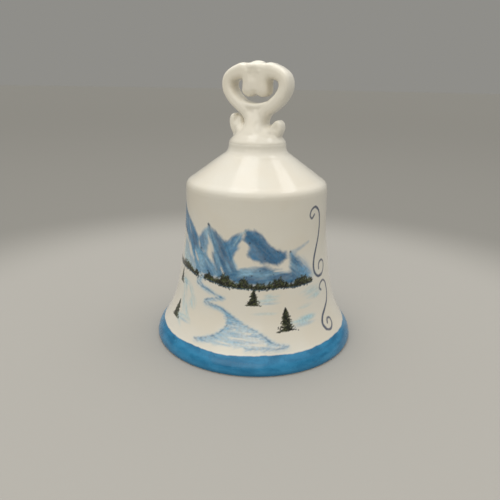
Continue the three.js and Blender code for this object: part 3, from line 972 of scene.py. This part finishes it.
def make_handle(material):
    """The heart and its foot, made of lumps joined into one skin, pressed in places and then turned."""
    shapes = [band([(hand * x, z, w) for x, z, w in ARM], None, 4.2, cap=2.4) for hand in (-1, 1)]
    shapes += [
        band([(-0.2, 75), (-0.2, 79), (0, 82), (0, 86)], 3.4, 4.05, cap=0.8),
        band([(-5.6, 87.4), (-2.8, 86.5), (0, 86.2), (2.8, 86.5), (5.6, 87.4)], 1.3, 4.0, cap=1.2),
        band([(0, 90.3), (0, 93), (0, 95), (0, 98.4)], 2.3, 4.2, cap=1.6),
        band([(-4.6, 98.3), (-2, 98.5), (0, 98.5), (2, 98.5), (4.6, 98.3)], 2.3, 4.2, cap=1.2),
        ellipsoid(4.2, 4.0, 3.0, 0, HANDLE_TOP - 2.95),
        foot_disc(),
        band(LEFT_SCROLL, 1.5, 3.6, cap=1.5),
        ellipsoid(2.3, 3.9, 3.6, -6.4, 79.7),
        ellipsoid(3.0, 5.4, 3.3, -4.8, 77.4),
        skirt(),
        band(RIGHT_SCROLL, 1.0, 2.8, cap=0.8),
        ellipsoid(3.0, 5.4, 2.8, 4.2, 77.1),
        ellipsoid(2.7, 3.1, 2.8, 6.7, 77.8),
        ellipsoid(1.5, 2.6, 2.2, 8.0, 79.2),
    ]
    rough = new_piece("handle_clay", *joined(shapes), material)
    remesh = rough.modifiers.new("one skin", "REMESH")
    remesh.mode = "VOXEL"
    remesh.voxel_size = VOXEL * MM
    soften(rough, 14)
    mesh = bpy.data.meshes.new_from_object(rough.evaluated_get(bpy.context.evaluated_depsgraph_get()))
    bpy.data.objects.remove(rough)

    points = vertex_values(mesh, "co") / MM
    normals = vertex_values(mesh, "normal")
    facing = np.clip(np.abs(normals[:, 1]) * 1.6 - 0.3, 0, 1)
    flat = points[:, [0, 2]]
    push = np.zeros(len(points))
    for line, depth, width in PRESSED:
        away, _ = line_distance(flat, even(np.array(line, float), 0.3))
        push = np.maximum(push, depth * np.exp(-(away / width) ** 2))
    points -= normals * (push * facing)[:, None]
    spin = np.array(Matrix.Rotation(HANDLE_YAW, 3, "Z"))
    points = points @ spin.T + np.array([HANDLE_X, 0, 0])
    mesh.vertices.foreach_set("co", (points * MM).ravel())
    mesh.update()
    mesh.shade_smooth()
    mesh.materials.clear()
    mesh.materials.append(material)
    handle = new_object("heart_handle_glazed", mesh)

    # The foot is blended further, but for its two scrolls, which would melt away.
    foot = handle.vertex_groups.new(name="foot")
    low = step(82.5, 79.0, points[:, 2])
    scroll = step(4.6, 6.2, np.abs(flat[:, 0])) * step(77.2, 78.8, points[:, 2])
    weight = np.round(low * (1 - scroll), 1)
    for share in np.unique(weight[weight > 0]):
        foot.add(np.flatnonzero(weight == share).tolist(), float(share), "REPLACE")
    soften(handle, 40, "foot")
    soften(handle, 2)
    return handle


# ---------------------------------------------------------------- hanger, chain and clapper


def wire(path, radius=WIRE_R, sides=16):
    """Points and faces of a wire along points in the XZ plane, with rounded ends."""
    flat = np.array(path, float)
    along = lengths(flat)
    from_end = np.minimum(along, along[-1] - along)
    r = radius * np.sqrt(np.clip(1 - (1 - np.clip(from_end / (0.35 * radius), 0, 1)) ** 2, 0.25, 1))
    a = circle(sides)
    return rod(flat, r, r, np.sin(a), np.cos(a))


def loop_line(end_r, straight, z, gap=0.05):
    """The middle of a wire bent to a closed loop, its two ends nearly meeting on the right side."""
    half = straight / 2
    arc = np.linspace(0, math.pi, 25)[1:]
    upper = [(end_r * math.cos(t), z + half + end_r * math.sin(t)) for t in arc]
    lower = [(end_r * math.cos(t), z - half + end_r * math.sin(t)) for t in arc + math.pi]
    if straight:
        line = [(end_r, z + gap), (end_r, z + half), *upper, *lower, (end_r, z - gap)]
    else:
        x, rise = end_r * math.cos(gap), end_r * math.sin(gap)
        line = [(x, z + rise), *upper, *lower[:-1], (x, z - rise)]
    return even(np.array(line), 0.12)


def wire_piece(name, shapes, material, quarter_turn=False):
    points, faces = joined(shapes)
    if quarter_turn:
        points = np.stack([-points[:, 1], points[:, 0], points[:, 2]], axis=1)
    return new_piece(name, points, faces, material)


def upright(z0, z1):
    return wire(even(np.array([(0, z0), (0, z1)], float), 0.1))


def make_ball(material, sides=96):
    """A glazed bead with a rounded bore down its middle."""
    start = math.asin((BALL_BORE + 0.25) / BALL_R)
    a = np.linspace(start, math.pi - start, 48)
    outer = [(BALL_R * math.sin(t), BALL_Z - BALL_R * math.cos(t)) for t in a]
    low, high = outer[0][1], outer[-1][1]
    bore = even(np.array([(BALL_BORE, high - 0.2), (BALL_BORE, low + 0.2)]), 0.8)
    ring = np.vstack([outer, [(BALL_BORE + 0.07, high - 0.05)], bore, [(BALL_BORE + 0.07, low + 0.05)]])
    verts = turn(ring, circle(sides))
    last = (len(ring) - 1) * sides
    faces = grid_faces(len(ring), sides)
    faces += [(last + j, last + (j + 1) % sides, (j + 1) % sides, j) for j in range(sides)]
    return new_piece("clapper_ball_glazed", verts, faces, material)


# The plug's underside and side, (radius, height).
PLUG = [(0.4, 66.5), (2.4, 66.45), (4.2, 66.6), (5.7, 67.0), (6.6, 67.9), (6.9, 69.6), (6.95, 71.5)]


def make_plug(material):
    """Plaster in the well, its underside left rough."""
    profile = [(0, 66.5), *smooth_curve(PLUG, 0.3).tolist(), (0, 71.55)]
    plug = new_piece("crown_plug_plaster", *turned(profile, 72), material)
    points = vertex_values(plug.data, "co")
    x, y, z = (points / MM).T
    lumps = 0.14 * noise(x, y, 1.9, 1.9, 200) + 0.06 * noise(x, y, 0.7, 0.7, 201)
    points[:, 2] += np.where(z < 68, lumps, 0) * MM
    plug.data.vertices.foreach_set("co", points.ravel())
    return plug


def place(piece, body, node, slot):
    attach(piece, body)
    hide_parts(node)


def make_chain(brass):
    """The links, each hung on the wire above it, and the clapper's pin under the last."""
    bottom = EYE_Z - EYE_R
    reach = LINK_STRAIGHT / 2 + LINK_R
    for i in range(1, LINKS + 1):
        z = bottom + 2 * WIRE_R + PLAY - reach
        shapes = [wire(loop_line(LINK_R, LINK_STRAIGHT, z))]
        link = wire_piece(f"chain_link_{i}_wire", shapes, brass, quarter_turn=i % 2 == 1)
        place(link, f"link_{i}", f"chain_link_{i}", "brass")
        bottom = z - reach
    eye_z = bottom + 2 * WIRE_R + PLAY - EYE_R
    head_top = BALL_Z - BALL_R - PLAY
    head_line = [(0, head_top - PIN_HEAD_H), (0, head_top - 0.5), (0, head_top - 0.2), (0, head_top)]
    shapes = [
        wire(loop_line(EYE_R, 0, eye_z)),
        upright(head_top - 0.3, eye_z - EYE_R),
        wire(head_line, PIN_HEAD_R, 32),
    ]
    place(wire_piece("clapper_pin_wire", shapes, brass, quarter_turn=True), "pin", "clapper_pin", "brass")


# ---------------------------------------------------------------- stage, light and camera


HORIZON = (0.275, 0.27, 0.252)
ZENITH = (1.32, 1.29, 1.215)


def make_stage(sides=64):
    radii = [0.15, 0.4, 1.0, 3.0, 8.0]
    verts = [(r * math.cos(a), r * math.sin(a), 0) for r in radii for a in circle(sides)]
    verts.append((0, 0, 0))
    faces = [(a, d, c, b) for a, b, c, d in grid_faces(len(radii), sides)]
    faces += [(len(verts) - 1, j, (j + 1) % sides) for j in range(sides)]
    floor = new_piece("floor", np.array(verts), faces, make_floor(), scale=1)


def area_light(name, at, aim, size, watts, colour=(1, 1, 1)):
    data = bpy.data.lights.new(name, "AREA")
    data.shape = "RECTANGLE"
    data.size, data.size_y = size
    data.energy = watts
    data.color = colour
    lamp = new_object(name, data)
    lamp.location = at
    lamp.rotation_euler = (Vector(aim) - Vector(at)).to_track_quat("-Z", "Y").to_euler()


def make_light():
    world = bpy.data.worlds.new("studio")
    bpy.context.scene.world = world
    world.use_nodes = True
    tree = world.node_tree
    up = add(tree, "SeparateXYZ", {"Vector": add(tree, "TexCoord").outputs["Generated"]}).outputs["Z"]
    dome = add_mix(tree, add_range(tree, up, 0.18, 0.95), HORIZON, ZENITH)
    tree.links.new(dome, tree.nodes["Background"].inputs["Color"])
    area_light("softbox", (-0.13, 0.04, 0.70), (0, 0, 0.06), (0.46, 0.26), 0.72)
    area_light("strip", (0.30, 0.08, 0.62), (0, 0, 0.06), (0.34, 0.14), 0.3)
    area_light("front", (-0.30, -0.90, 0.46), (0, 0, 0.07), (1.1, 0.5), 1.9, (1.0, 0.93, 0.79))


def make_camera():
    data = bpy.data.cameras.new("camera")
    data.sensor_width = 36
    data.lens = 36
    data.clip_start = 0.01
    camera = new_object("camera", data)
    camera.matrix_world = (Matrix.Translation((-0.00203, -0.1841, 0.0942))
                           @ Matrix.Rotation(math.radians(71.49), 4, "X")
                           @ Matrix.Rotation(math.radians(1.03), 4, "Z"))
    bpy.context.scene.camera = camera


make_camera()
make_stage()
make_light()
bpy.context.scene.view_settings.view_transform = "Standard"

plain_glaze = make_glaze("plain_porcelain")
brass = make_brass()
place(make_body(make_painted_glaze()), "bell", "bell_body", "porcelain")
place(make_handle(plain_glaze), "bell", "heart_handle", "porcelain")
place(make_plug(make_plaster()), "bell", "crown_plug", "plaster")
eye = [wire(loop_line(EYE_R, 0, EYE_Z)), upright(EYE_Z + EYE_R, PLUG_BORE_TOP)]
place(wire_piece("hanger_eye_wire", eye, brass), "bell", "hanger_eye", "brass")
make_chain(brass)
place(make_ball(plain_glaze), "clapper", "clapper_ball", "porcelain")
